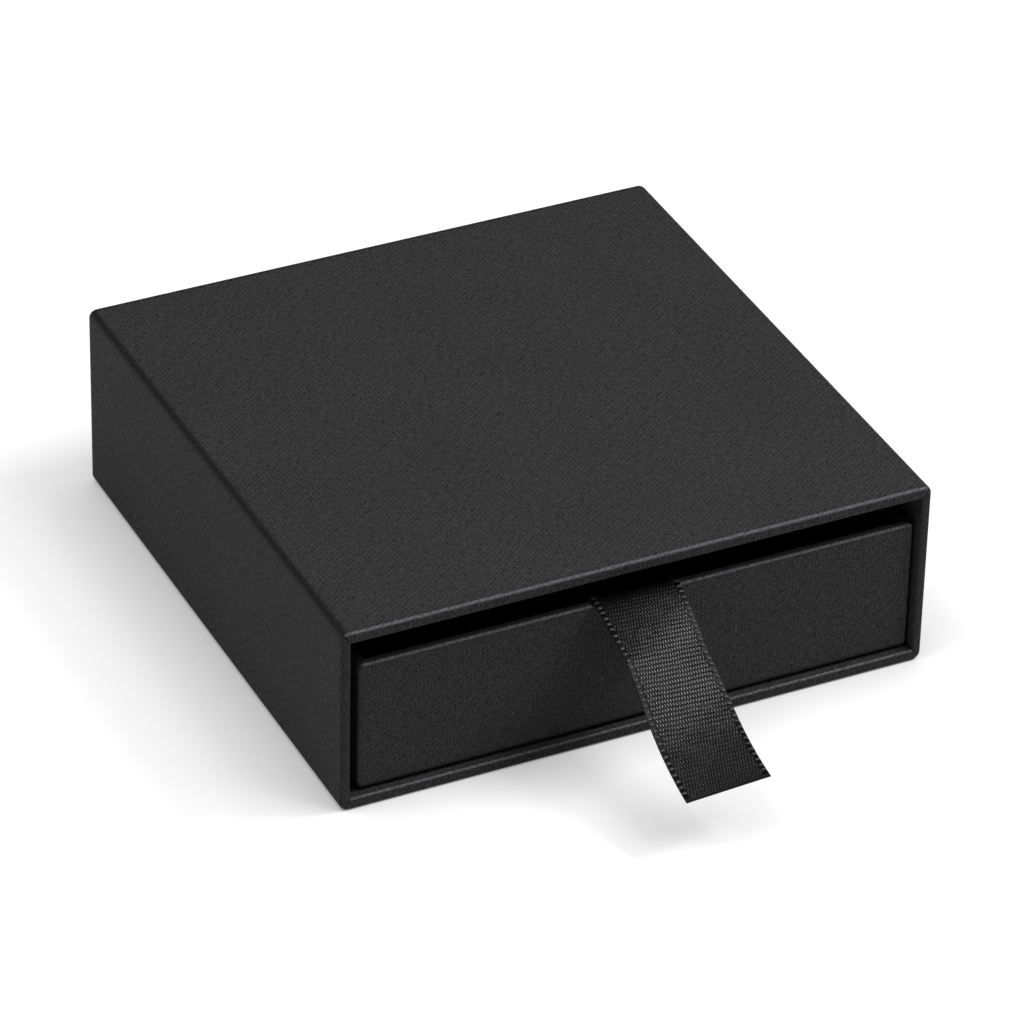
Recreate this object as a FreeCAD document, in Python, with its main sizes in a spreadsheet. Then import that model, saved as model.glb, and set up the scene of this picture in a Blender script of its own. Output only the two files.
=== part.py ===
import FreeCAD, Part
import math
import os
import re

# Square slipcase gift box: a rigid board sleeve, open at the front, with a sliding drawer
# and a woven ribbon to pull it by. Millimetres, +X right, +Y back, +Z up. The mouth faces -Y.
# The origin is the centre of the face that the sleeve stands on.

DRIVING_SIZES = (
    ("sleeve_width", 110.0, "outside width of the sleeve, left to right"),
    ("sleeve_depth", 110.0, "outside depth of the sleeve, mouth to back"),
    ("sleeve_height", 36.0, "outside height of the sleeve"),
    ("panel_board", 2.0, "greyboard of the sleeve's top and base"),
    ("wall_board", 1.5, "greyboard of the sleeve's sides and back"),
    ("drawer_board", 1.5, "greyboard of the drawer"),
    ("paper", 0.16, "embossed cover paper"),
    ("edge_radius", 1.6, "rounding of the sleeve's long edges, over the paper"),
    ("back_radius", 1.2, "rounding round the sleeve's back face"),
    ("mouth_radius", 0.7, "rounding of the mouth's outer rim"),
    ("lip_radius", 0.5, "rounding of the inner rims of mouth and drawer"),
    ("sleeve_turn_in", 14.0, "cover paper folded in behind the mouth"),
    ("lining_setback", 4.0, "bare turn-in between the mouth and the lining"),
    ("stay_tape", 0.1, "paper tape pressed flush into the board corners"),
    ("stay_leg", 10.0, "how far a tape reaches from its corner"),
    ("stay_setback", 3.0, "how far a tape stops short of an open rim"),
    ("side_clearance", 1.25, "play between drawer and mouth, each side if centred"),
    ("drawer_shift", 0.7, "how far the drawer sits off centre, to the right"),
    ("drawer_recess", 1.3, "drawer front behind the mouth when closed"),
    ("back_clearance", 0.5, "play behind the closed drawer"),
    ("floor_clearance", 0.2, "running gap under the drawer"),
    ("headroom", 5.6, "gap between the drawer's rim and the sleeve's top"),
    ("drawer_corner_radius", 0.8, "rounding of the drawer's upright corners"),
    ("drawer_base_radius", 0.7, "rounding round the drawer's underside"),
    ("drawer_rim_radius", 0.6, "rounding of the drawer's outer rim"),
    ("drawer_turn_in_gap", 1.0, "drawer turn-in stops this far above the base board"),
    ("liner_card", 0.5, "card that lines the drawer's base"),
    ("liner_gap", 0.3, "gap round that card"),
    ("ribbon_width", 16.0, "pull ribbon, edge to edge"),
    ("ribbon_thickness", 0.4, "pull ribbon's weave"),
    ("ribbon_offset", 0.9, "ribbon to the left of the drawer's middle"),
    ("ribbon_glued", 13.0, "ribbon glued down inside the drawer front"),
    ("ribbon_start_angle", 22.0, "free ribbon at the rim, degrees below level"),
    ("ribbon_middle_angle", 33.0, "free ribbon at its steepest, degrees below level"),
    ("ribbon_end_angle", 18.0, "free ribbon at its end, degrees below level"),
    ("ribbon_upper_length", 16.0, "free ribbon from the rim to its steepest place"),
    ("ribbon_lower_length", 23.0, "free ribbon from there to its end"),
    ("bend_gap", 0.4, "gap between glued and free ribbon at the bend"),
    ("bend_inset", 0.15, "bend line behind the drawer's front face"),
    ("bend_lift", 0.07, "bend line above the middle of the glued ribbon"),
    ("patch_margin", 5.0, "paper patch beyond each edge of the ribbon"),
    ("patch_height", 11.0, "paper patch over the ribbon's glued end"),
    ("patch_overhang", 2.0, "paper patch below the ribbon's glued end"),
)
SIZE_NAMES = {name for name, size, note in DRIVING_SIZES}

# How close an edge must lie to a plane to count as in it
NEAR = 0.001

doc = FreeCAD.newDocument("drawer_gift_box")
sheet = doc.addObject("Spreadsheet::Sheet", "sizes")
for row, (name, size, note) in enumerate(DRIVING_SIZES, start=1):
    sheet.set(f"A{row}", note)
    sheet.set(f"B{row}", str(size))
    sheet.setAlias(f"B{row}", name)
doc.recompute()

# Places of the sleeve's faces, as formulas of the sheet
MOUTH = "(-sleeve_depth / 2)"
BACK = "(sleeve_depth / 2)"
RIGHT = "(sleeve_width / 2)"
LEFT = f"(-{RIGHT})"
TOP = "(sleeve_height)"
BASE = "(0)"
BOARD_RIGHT = f"({RIGHT} - paper - wall_board)"
BOARD_LEFT = f"(-{BOARD_RIGHT})"
BOARD_BACK = f"({BACK} - paper - wall_board)"
BOARD_FLOOR = "(paper + panel_board)"
BOARD_ROOF = f"({TOP} - paper - panel_board)"
TURN_IN_END = f"({MOUTH} + sleeve_turn_in)"

# Places of the drawer's faces: it takes its size from the mouth and the clearances
DRAWER_HALF = f"({BOARD_RIGHT} - paper - side_clearance)"
DRAWER_LEFT = f"(drawer_shift - {DRAWER_HALF})"
DRAWER_RIGHT = f"(drawer_shift + {DRAWER_HALF})"
DRAWER_FRONT = f"({MOUTH} + drawer_recess)"
DRAWER_BACK = f"({BOARD_BACK} - paper - back_clearance)"
DRAWER_UNDER = f"({BOARD_FLOOR} + 2 * paper + floor_clearance)"
DRAWER_RIM = f"({BOARD_ROOF} - paper - headroom)"
DRAWER_SKIN = "(paper + drawer_board)"
DRAWER_FLOOR = f"({DRAWER_UNDER} + {DRAWER_SKIN})"

# Places of the ribbon
RIBBON_MIDDLE = "(drawer_shift - ribbon_offset)"
FRONT_INNER = f"({DRAWER_FRONT} + {DRAWER_SKIN} + paper)"
BEND_Y = f"({DRAWER_FRONT} + bend_inset)"
BEND_Z = f"({DRAWER_RIM} + ribbon_thickness / 2 + bend_lift)"

sub_parts = []


def formula(text):
    """Point every size that a formula names at its cell of the sheet."""
    def cell(word):
        return "sizes." + word.group() if word.group() in SIZE_NAMES else word.group()
    return re.sub(r"[a-z_]+", cell, text)


def value(text):
    """The number that a formula gives, for what a formula can't be bound to."""
    return float(sheet.evalExpression(formula(text)))


def bind(item, size, text):
    item.setExpression(size, formula(text))


def keep(item, label):
    """Name a finished piece; its label names its file."""
    item.Label = label
    sub_parts.append(item)
    return item


def inset(low, high, depth):
    """The corners of a box whose faces all lie deeper by one formula."""
    return ([f"({place} + {depth})" for place in low],
            [f"({place} - {depth})" for place in high])


def set_box(box, low, high):
    """Bind a box's place and size to its low and high corner."""
    for side, axis, start, end in zip(("Length", "Width", "Height"), "xyz", low, high):
        bind(box, side, f"{end} - {start}")
        bind(box, f"Placement.Base.{axis}", start)
    doc.recompute()
    return box


def new_body(name):
    return doc.addObject("PartDesign::Body", name)


def add_block(body, name, low, high):
    return set_box(body.newObject("PartDesign::AdditiveBox", name), low, high)


def cut_block(body, name, low, high):
    return set_box(body.newObject("PartDesign::SubtractiveBox", name), low, high)


def region(name, low, high):
    return set_box(doc.addObject("Part::Box", name), low, high)


def within(low, high):
    """A test for edges: whether one lies inside a box given by formulas."""
    low_limits = [value(place) - NEAR for place in low]
    high_limits = [value(place) + NEAR for place in high]

    def test(edge):
        box = edge.BoundBox
        start = (box.XMin, box.YMin, box.ZMin)
        end = (box.XMax, box.YMax, box.ZMax)
        return (all(place > limit for place, limit in zip(start, low_limits))
                and all(place < limit for place, limit in zip(end, high_limits)))
    return test


def along(axis):
    """A test for edges: whether one runs along an axis."""
    def test(edge):
        box = edge.BoundBox
        lengths = {"x": box.XLength, "y": box.YLength, "z": box.ZLength}
        return all((length < NEAR) != (name == axis) for name, length in lengths.items())
    return test


def round_edges(body, name, radius, wanted):
    """Round the edges of a body that a test picks."""
    sharp = body.Tip
    edges = [f"Edge{index}" for index, edge in enumerate(sharp.Shape.Edges, start=1) if wanted(edge)]
    fillet = body.newObject("PartDesign::Fillet", name)
    fillet.Base = (sharp, edges)
    bind(fillet, "Radius", radius)
    doc.recompute()
    return fillet


def combine(kind, name, base, tool):
    """A boolean of two objects; both stay in the document."""
    result = doc.addObject(kind, name)
    result.Base = base
    result.Tool = tool
    doc.recompute()
    return result


def gather(name, items):
    """One object that holds several pieces, to cut them out of others in one go."""
    group = doc.addObject("Part::MultiFuse", name)
    group.Shapes = items
    doc.recompute()
    return group


def sleeve_envelope(name, depth):
    """The sleeve's outside at a depth under the paper, closed and rounded, with its corners."""
    low, high = inset((LEFT, MOUTH, BASE), (RIGHT, BACK, TOP), depth)
    body = new_body(name)
    add_block(body, f"{name}_block", low, high)
    round_edges(body, f"{name}_long_edges", f"edge_radius - {depth}", along("y"))
    round_edges(body, f"{name}_back_edges", f"back_radius - {depth}",
                within((low[0], high[1], low[2]), high))
    round_edges(body, f"{name}_mouth_edges", f"mouth_radius - {depth}",
                within(low, (high[0], low[1], high[2])))
    return body, low, high


def open_mouth(body, mouth, low, high, radius):
    """Hollow a sleeve envelope from its mouth and round the inner rim."""
    cut_block(body, f"{body.Name}_opening", low, high)
    round_edges(body, f"{body.Name}_lip", radius,
                within((low[0], mouth, low[2]), (high[0], mouth, high[2])))


def drawer_envelope(name, depth):
    """The drawer's outside at a depth under the paper, closed and rounded."""
    low, high = inset((DRAWER_LEFT, DRAWER_FRONT, DRAWER_UNDER),
                      (DRAWER_RIGHT, DRAWER_BACK, DRAWER_RIM), depth)
    body = new_body(name)
    add_block(body, f"{name}_block", low, high)
    round_edges(body, f"{name}_corners", f"drawer_corner_radius - {depth}", along("z"))
    round_edges(body, f"{name}_under_edges", f"drawer_base_radius - {depth}",
                within(low, (high[0], high[1], low[2])))
    round_edges(body, f"{name}_rim_edges", f"drawer_rim_radius - {depth}",
                within((low[0], low[1], high[2]), high))
    return body, low, high


def open_top(body, rim, low, high, radius):
    """Hollow a drawer envelope from its rim and round the inner rim."""
    cut_block(body, f"{body.Name}_opening", low, high)
    round_edges(body, f"{body.Name}_lip", radius,
                within((low[0], low[1], rim), (high[0], high[1], rim)))


def tape_band(name, envelope):
    """A thin closed skin, as deep as the tape, on the boards' outside."""
    outer = envelope(f"{name}_outer", "paper")[0]
    inner = envelope(f"{name}_inner", "(paper + stay_tape)")[0]
    return combine("Part::Cut", name, outer, inner)


def corner_stay(name, band, low, high):
    """One strip of tape: the part of the band that lies in a box over its corner."""
    return keep(combine("Part::Common", name, band, region(f"{name}_region", low, high)), name)


def board(name, taped_shell, low, high):
    """One flat board: the part of a board shell, less its tapes, that lies in a box."""
    return keep(combine("Part::Common", name, taped_shell, region(f"{name}_region", low, high)), name)


def sleeve_stays():
    """Tapes along the sleeve's four long edges and round its back."""
    band = tape_band("sleeve_tape_band", sleeve_envelope)
    run_start = f"({MOUTH} + stay_setback)"
    run_end = f"({BACK} - stay_leg)"
    sides = {"left": (LEFT, f"({LEFT} + stay_leg)"), "right": (f"({RIGHT} - stay_leg)", RIGHT)}
    levels = {"top": (f"({TOP} - stay_leg)", TOP), "base": (BASE, f"({BASE} + stay_leg)")}
    stays = []
    for level, (bottom, top) in levels.items():
        for side, (left, right) in sides.items():
            stays.append(corner_stay(f"sleeve_stay_{level}_{side}", band,
                                     (left, run_start, bottom), (right, run_end, top)))
        stays.append(corner_stay(f"sleeve_stay_back_{level}", band,
                                 (LEFT, run_end, bottom), (RIGHT, BACK, top)))
    for side, (left, right) in sides.items():
        stays.append(corner_stay(f"sleeve_stay_back_{side}", band,
                                 (left, run_end, levels["base"][1]), (right, BACK, levels["top"][0])))
    return gather("sleeve_stays", stays)


def sleeve_boards(shell):
    """Top and base lie over the sides; the back stands between all four."""
    taped = combine("Part::Cut", "sleeve_taped_shell", shell, sleeve_stays())
    board("sleeve_top_board", taped, (LEFT, MOUTH, BOARD_ROOF), (RIGHT, BACK, TOP))
    board("sleeve_base_board", taped, (LEFT, MOUTH, BASE), (RIGHT, BACK, BOARD_FLOOR))
    board("sleeve_left_board", taped, (LEFT, MOUTH, BOARD_FLOOR), (BOARD_LEFT, BACK, BOARD_ROOF))
    board("sleeve_right_board", taped, (BOARD_RIGHT, MOUTH, BOARD_FLOOR), (RIGHT, BACK, BOARD_ROOF))
    board("sleeve_back_board", taped, (BOARD_LEFT, BOARD_BACK, BOARD_FLOOR),
          (BOARD_RIGHT, BACK, BOARD_ROOF))


def sleeve_papers(shell):
    """The cover paper with its turn-in, and the panel of it under the base."""
    body, low, high = sleeve_envelope("sleeve_paper_block", BASE)
    open_mouth(body, MOUTH, (f"({BOARD_LEFT} + paper)", MOUTH, f"({BOARD_FLOOR} + paper)"),
               (f"({BOARD_RIGHT} - paper)", TURN_IN_END, f"({BOARD_ROOF} - paper)"), "lip_radius")
    cut_block(body, "sleeve_paper_rear", (BOARD_LEFT, TURN_IN_END, BOARD_FLOOR),
              (BOARD_RIGHT, BOARD_BACK, BOARD_ROOF))
    skin = combine("Part::Cut", "sleeve_skin", body, shell)
    panel_region = region("sleeve_base_panel_region",
                          (f"({LEFT} + edge_radius)", f"({MOUTH} + mouth_radius)", BASE),
                          (f"({RIGHT} - edge_radius)", f"({BACK} - back_radius)", "paper"))
    keep(combine("Part::Common", "sleeve_base_wrap", skin, panel_region), "sleeve_base_wrap")
    keep(combine("Part::Cut", "sleeve_wrap", skin, panel_region), "sleeve_wrap")


def sleeve_lining():
    """Inner paper, one thickness over the boards and stepped up over the turn-in."""
    body = new_body("sleeve_lining")
    low = (BOARD_LEFT, TURN_IN_END, BOARD_FLOOR)
    high = (BOARD_RIGHT, BOARD_BACK, BOARD_ROOF)
    start = f"({MOUTH} + lining_setback)"
    step = f"({TURN_IN_END} + paper)"
    add_block(body, "lining_rear", low, high)
    over_low, over_high = inset(low, high, "paper")
    add_block(body, "lining_front", (over_low[0], start, over_low[2]),
              (over_high[0], TURN_IN_END, over_high[2]))
    room_low, room_high = inset(low, high, "2 * paper")
    cut_block(body, "lining_front_room", (room_low[0], start, room_low[2]),
              (room_high[0], step, room_high[2]))
    cut_block(body, "lining_rear_room", (over_low[0], step, over_low[2]), over_high)
    keep(body, "sleeve_lining")


def drawer_stays():
    """Tapes on the drawer's four upright corners."""
    band = tape_band("drawer_tape_band", drawer_envelope)
    sides = {"left": (DRAWER_LEFT, f"({DRAWER_LEFT} + stay_leg)"),
             "right": (f"({DRAWER_RIGHT} - stay_leg)", DRAWER_RIGHT)}
    ends = {"front": (DRAWER_FRONT, f"({DRAWER_FRONT} + stay_leg)"),
            "back": (f"({DRAWER_BACK} - stay_leg)", DRAWER_BACK)}
    stays = [corner_stay(f"drawer_stay_{end}_{side}", band,
                         (left, front, DRAWER_FLOOR), (right, back, f"({DRAWER_RIM} - stay_setback)"))
             for end, (front, back) in ends.items() for side, (left, right) in sides.items()]
    return gather("drawer_stays", stays)


def drawer_boards(shell):
    """Front and back run the full width; sides stand between them, and the base between all."""
    taped = combine("Part::Cut", "drawer_taped_shell", shell, drawer_stays())
    left = f"({DRAWER_LEFT} + {DRAWER_SKIN})"
    right = f"({DRAWER_RIGHT} - {DRAWER_SKIN})"
    front = f"({DRAWER_FRONT} + {DRAWER_SKIN})"
    back = f"({DRAWER_BACK} - {DRAWER_SKIN})"
    board("drawer_front_board", taped, (DRAWER_LEFT, DRAWER_FRONT, DRAWER_UNDER),
          (DRAWER_RIGHT, front, DRAWER_RIM))
    board("drawer_back_board", taped, (DRAWER_LEFT, back, DRAWER_UNDER),
          (DRAWER_RIGHT, DRAWER_BACK, DRAWER_RIM))
    board("drawer_left_board", taped, (DRAWER_LEFT, front, DRAWER_UNDER), (left, back, DRAWER_RIM))
    board("drawer_right_board", taped, (right, front, DRAWER_UNDER), (DRAWER_RIGHT, back, DRAWER_RIM))
    board("drawer_base_board", taped, (left, front, DRAWER_UNDER), (right, back, DRAWER_FLOOR))


def drawer_papers(shell):
    """The cover paper, folded over the rims and down inside, and the card on the base."""
    body, low, high = drawer_envelope("drawer_paper_block", BASE)
    turn_in_low = f"({DRAWER_FLOOR} + drawer_turn_in_gap)"
    board_low, board_high = inset(low, high, DRAWER_SKIN)
    paper_low, paper_high = inset(board_low, board_high, "paper")
    open_top(body, DRAWER_RIM, (paper_low[0], paper_low[1], turn_in_low),
             (paper_high[0], paper_high[1], DRAWER_RIM), "lip_radius")
    cut_block(body, "drawer_paper_low", (board_low[0], board_low[1], DRAWER_FLOOR),
              (board_high[0], board_high[1], turn_in_low))
    keep(combine("Part::Cut", "drawer_wrap", body, shell), "drawer_wrap")
    card = new_body("drawer_base_liner")
    card_low, card_high = inset(paper_low, paper_high, "liner_gap")
    add_block(card, "liner_card_block", (card_low[0], card_low[1], DRAWER_FLOOR),
              (card_high[0], card_high[1], f"({DRAWER_FLOOR} + liner_card)"))
    keep(card, "drawer_base_liner")


def ribbon_glued_end():
    """The ribbon from inside the drawer front, up and over the rim to the bend line."""
    left = f"({RIBBON_MIDDLE} - ribbon_width / 2)"
    right = f"({RIBBON_MIDDLE} + ribbon_width / 2)"
    inner_face = f"({FRONT_INNER} + ribbon_thickness)"
    upper_face = f"({DRAWER_RIM} + ribbon_thickness)"
    lower_end = f"({DRAWER_RIM} - ribbon_glued)"
    body = new_body("ribbon_glued_end")
    add_block(body, "ribbon_over_rim", (left, f"({BEND_Y} + bend_gap / 2)", DRAWER_RIM),
              (right, inner_face, upper_face))
    add_block(body, "ribbon_inside", (left, FRONT_INNER, lower_end), (right, inner_face, DRAWER_RIM))
    round_edges(body, "ribbon_outer_fold", "lip_radius + ribbon_thickness",
                within((left, inner_face, upper_face), (right, inner_face, upper_face)))
    round_edges(body, "ribbon_inner_fold", "lip_radius",
                within((left, FRONT_INNER, DRAWER_RIM), (right, FRONT_INNER, DRAWER_RIM)))
    keep(body, "ribbon_glued_end")


def ribbon_patch():
    """Paper stuck over the ribbon's glued end, stepped down to the wall on both sides."""
    left = f"({RIBBON_MIDDLE} - ribbon_width / 2)"
    right = f"({RIBBON_MIDDLE} + ribbon_width / 2)"
    ribbon_end = f"({DRAWER_RIM} - ribbon_glued)"
    ribbon_face = f"({FRONT_INNER} + ribbon_thickness)"
    bottom = f"({ribbon_end} - patch_overhang)"
    top = f"({bottom} + patch_height)"
    body = new_body("ribbon_patch")
    add_block(body, "patch_flaps", (f"({left} - patch_margin)", FRONT_INNER, bottom),
              (f"({right} + patch_margin)", f"({FRONT_INNER} + paper)", top))
    add_block(body, "patch_raised", (f"({left} - paper)", FRONT_INNER, f"({ribbon_end} - paper)"),
              (f"({right} + paper)", f"({ribbon_face} + paper)", top))
    cut_block(body, "patch_groove", (left, FRONT_INNER, ribbon_end), (right, ribbon_face, top))
    keep(body, "ribbon_patch")


def ribbon_arc(start, angle, next_angle, length):
    """Middle and end of an arc that leaves a point at one slope and ends at another."""
    points = []
    for reached in ((angle + next_angle) / 2, next_angle):
        radius = length / (next_angle - angle)
        points.append((start[0] - radius * (math.sin(reached) - math.sin(angle)),
                       start[1] + radius * (math.cos(reached) - math.cos(angle)), reached))
    return points


def ribbon_free_end():
    """The free ribbon: a limp strip along two tangent arcs, a sagging S seen from the side."""
    start_angle, middle_angle, end_angle = (
        math.radians(value(f"ribbon_{place}_angle")) for place in ("start", "middle", "end"))
    half_gap = value("bend_gap / 2")
    start = (-half_gap * math.cos(start_angle), -half_gap * math.sin(start_angle), start_angle)
    upper = ribbon_arc(start, start_angle, middle_angle, value("ribbon_upper_length"))
    lower = ribbon_arc(upper[-1], middle_angle, end_angle, value("ribbon_lower_length"))
    half_weave = value("ribbon_thickness / 2")

    def face_points(side):
        return [FreeCAD.Vector(0, y - side * half_weave * math.sin(angle),
                               z + side * half_weave * math.cos(angle))
                for y, z, angle in (start, *upper, *lower)]

    over, under = face_points(1), face_points(-1)
    outline = [Part.Arc(*over[0:3]).toShape(), Part.Arc(*over[2:5]).toShape(),
               Part.makeLine(over[4], under[4]), Part.Arc(*under[4:1:-1]).toShape(),
               Part.Arc(*under[2::-1]).toShape(), Part.makeLine(under[0], over[0])]
    strip = Part.Face(Part.Wire(outline)).extrude(FreeCAD.Vector(value("ribbon_width"), 0, 0))
    ribbon = doc.addObject("Part::Feature", "ribbon_tail")
    ribbon.Shape = strip
    ribbon.Placement.Base = FreeCAD.Vector(value(f"{RIBBON_MIDDLE} - ribbon_width / 2"),
                                           value(BEND_Y), value(BEND_Z))
    keep(ribbon, "ribbon_tail")


def build_sleeve():
    shell, low, high = sleeve_envelope("sleeve_board_shell", "paper")
    open_mouth(shell, low[1], (BOARD_LEFT, low[1], BOARD_FLOOR),
               (BOARD_RIGHT, BOARD_BACK, BOARD_ROOF), "lip_radius - paper")
    sleeve_boards(shell)
    sleeve_papers(shell)
    sleeve_lining()


def build_drawer():
    shell, low, high = drawer_envelope("drawer_board_shell", "paper")
    room_low, room_high = inset(low, high, "drawer_board")
    open_top(shell, high[2], room_low, (room_high[0], room_high[1], high[2]), "lip_radius - paper")
    drawer_boards(shell)
    drawer_papers(shell)
    ribbon_glued_end()
    ribbon_patch()


def check_document():
    """Stop at any object that failed, and at any piece that isn't one sound solid."""
    for item in doc.Objects:
        if any(word in item.State for word in ("Invalid", "Error")):
            raise RuntimeError(f"{item.Label} failed: {item.State}")
    for item in sub_parts:
        if item.Shape.isNull() or not item.Shape.isValid():
            raise RuntimeError(f"{item.Label} has no sound shape")
        if len(item.Shape.Solids) != 1:
            raise RuntimeError(f"{item.Label} holds {len(item.Shape.Solids)} solids")


def report_places():
    """Print the places that the written record repeats."""
    for name, place in (("bend_y", BEND_Y), ("bend_z", BEND_Z), ("drawer_left", DRAWER_LEFT),
                        ("drawer_right", DRAWER_RIGHT), ("drawer_front", DRAWER_FRONT),
                        ("drawer_back", DRAWER_BACK), ("drawer_under", DRAWER_UNDER),
                        ("drawer_rim", DRAWER_RIM), ("drawer_floor", DRAWER_FLOOR),
                        ("front_inner", FRONT_INNER), ("ribbon_middle", RIBBON_MIDDLE)):
        print(f"{name} {value(place):.3f}")


build_sleeve()
build_drawer()
ribbon_free_end()
doc.recompute()
check_document()
report_places()
os.makedirs("parts", exist_ok=True)
for item in sub_parts:
    solid = item.Shape.Solids[0]
    solid.exportStep(f"parts/{item.Label}.step")
    print(f"{item.Label} {solid.Volume:.1f} mm3, {len(solid.Faces)} faces")
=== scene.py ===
"""Sliding drawer gift box: the looks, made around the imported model.

Lengths are in millimetres while a mesh is shaped, and finish_piece brings it to metres.
"""

import math
from collections import namedtuple

import bmesh
import bpy
import numpy as np
from mathutils import Matrix, Vector, noise


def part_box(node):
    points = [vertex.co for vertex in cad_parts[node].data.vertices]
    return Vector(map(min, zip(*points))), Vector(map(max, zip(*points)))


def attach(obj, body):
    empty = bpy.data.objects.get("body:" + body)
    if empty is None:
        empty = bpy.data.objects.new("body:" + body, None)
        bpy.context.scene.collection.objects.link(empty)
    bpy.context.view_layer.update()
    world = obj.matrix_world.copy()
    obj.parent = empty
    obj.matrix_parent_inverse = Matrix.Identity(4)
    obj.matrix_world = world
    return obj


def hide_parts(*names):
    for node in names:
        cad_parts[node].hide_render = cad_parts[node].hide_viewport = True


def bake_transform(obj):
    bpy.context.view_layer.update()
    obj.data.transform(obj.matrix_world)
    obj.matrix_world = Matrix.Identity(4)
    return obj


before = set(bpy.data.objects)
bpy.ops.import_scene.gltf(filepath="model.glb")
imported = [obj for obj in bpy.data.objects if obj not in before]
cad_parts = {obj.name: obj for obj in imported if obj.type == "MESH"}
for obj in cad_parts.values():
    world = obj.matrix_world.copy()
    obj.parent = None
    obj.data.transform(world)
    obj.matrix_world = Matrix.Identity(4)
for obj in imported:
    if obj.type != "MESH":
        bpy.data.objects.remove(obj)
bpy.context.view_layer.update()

MM = 0.001


def box_mm(*nodes):
    """The lowest and highest corner of some CAD nodes together, in millimetres."""
    corners = [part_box(node) for node in nodes]
    low = [min(box[0][k] for box in corners) / MM for k in range(3)]
    high = [max(box[1][k] for box in corners) / MM for k in range(3)]
    return Vector(low), Vector(high)


# The camera, fitted to the photographed box's outline
CAMERA_PLACE = (-383.42, -780.90, 595.14)
CAMERA_AZIMUTH = -26.305
CAMERA_ELEVATION = 33.847
CAMERA_ROLL = 1.443
CAMERA_LENS = 209.8

# Cover paper and the boards under it
PAPER = 0.16
LONG_EDGE_RADIUS = 1.6
BACK_EDGE_RADIUS = 1.2
MOUTH_RADIUS = 0.7
LIP_RADIUS = 0.5
DRAWER_CORNER_RADIUS = 0.8
DRAWER_BASE_RADIUS = 0.7
DRAWER_RIM_RADIUS = 0.6
INNER_CORNER_RADIUS = 0.15
RIM_FOLD = 0.3
SLEEVE_TURN_IN = 14
DRAWER_TURN_IN_GAP = 1.0
ARC_STEPS = 6
CORNER_STEPS = 4
SUPPORT = 0.4

# Mitre cuts in the turned-in paper, one at each corner of a rim, near black inside in a painted shade and
# with a painted highlight along the paper's edges beside them
SEAM_HALF_WIDTH = 0.16
SEAM_DEPTH = 0.13
SEAM_EDGE_HIGHLIGHT = 0.6
SEAM_MOST_TURN = math.radians(34)

# The ribbon, flat: its weave, its plain edges and its hot-cut end
RIBBON_WIDTH = 16
RIBBON_CORE = 0.2
RIBBON_ROW = 0.8
RIBBON_FLOATS = 26
FLOAT_HEIGHT = 0.06
FLOAT_UNEVEN = 0.2
FLOAT_UNEVEN_REACH = 0.6
ROW_STRAY = 0.16
ROW_STRAY_ACROSS = 3
ROW_STRAY_ALONG = 2.5
SELVEDGE = 0.95
SELVEDGE_FADE = 0.15
SELVEDGE_DROP = 0.03
SEALED_LENGTH = 0.6
SEALED_BEAD = 0.06
SEALED_FADE = 0.3
SAMPLES_PER_ROW = 5
SAMPLES_PER_FLOAT = 4

# The ribbon in place: how much is glued inside, and where it bends, in front of the rim's inner edge
GLUED_LENGTH = 13

# The weft's loops along the ribbon's edges
LOOP_PITCH = 1.2
LOOP_RADIUS = 0.33
LOOP_YARN_RADIUS = 0.15
LOOP_FULLNESS = 1.7
LOOP_FLATNESS = 0.5
LOOP_SIDES = 8
LOOP_STEPS = 12

# The free ribbon's lie from the drawer's rim to its end: share of its length, then degrees that it points
# down, turns to the right and rolls down on its right edge
FREE_LENGTH = 40.5
RIBBON_LIE = (
    (0, 0, -3.2, 0),
    (0.08, 18.5, -2, 2.5),
    (0.2, 25, -0.1, 6.3),
    (0.35, 32.5, 1.8, 10.2),
    (0.5, 34, 0, 7.8),
    (0.65, 28.5, -1.8, 5.3),
    (0.8, 22, 0, 2.6),
    (1, 17, 3.1, -1),
)

# The patch over the ribbon's glued end
PATCH_CELL = 0.5
PATCH_STEP = 1.2

# Table, world and lamps: each lamp's name, direction, width and depth in metres, and power in watts
BACKDROP_LIGHT = 0.1
BACKDROP_TOP = 0.12
CEILING_LIGHT = 0.06
CEILING_FROM = 0.4
# The table's glow for seen rays, a painted light, and the reach within which ambient occlusion dims it
FLOOR_GLOW = 0.62
FLOOR_GLOW_REACH = 20
FLOOR_WHITE_FROM = 120
FLOOR_WHITE_PAST = 300
LAMP_DISTANCE = 1.1
LAMPS = (
    ("left_softbox", (-0.5, 0, 0.87), (0.7, 0.6), 3.9),
    ("front_softbox", (0.37, -0.45, 0.81), (0.45, 0.3), 2.5),
    ("right_softbox", (0.62, -0.2, 0.76), (0.35, 0.3), 5.2),
)


# Materials

def colour(text):
    """A hex colour in sRGB as the linear RGBA that a socket takes."""
    parts = [int(text[k:k + 2], 16) / 255 for k in (1, 3, 5)]
    linear = [c / 12.92 if c <= 0.04045 else ((c + 0.055) / 1.055) ** 2.4 for c in parts]
    return (*linear, 1)


def add(tree, kind, sockets=None, **settings):
    """Adds a node; each socket named gets a value, or a link where the value is another node's output."""
    node = tree.nodes.new(kind)
    for name, setting in settings.items():
        setattr(node, name, setting)
    for socket, source in (sockets or {}).items():
        if isinstance(source, bpy.types.NodeSocket):
            tree.links.new(source, node.inputs[socket])
        else:
            node.inputs[socket].default_value = source
    return node


def new_material(name):
    """An empty node material with its output, and the tree to fill."""
    material = bpy.data.materials.new(name)
    material.use_nodes = True
    tree = material.node_tree
    tree.nodes.clear()
    return material, tree


def surface(tree, shader):
    """Ends a material with its shader."""
    add(tree, "ShaderNodeOutputMaterial", {"Surface": shader.outputs[0]})


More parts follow.
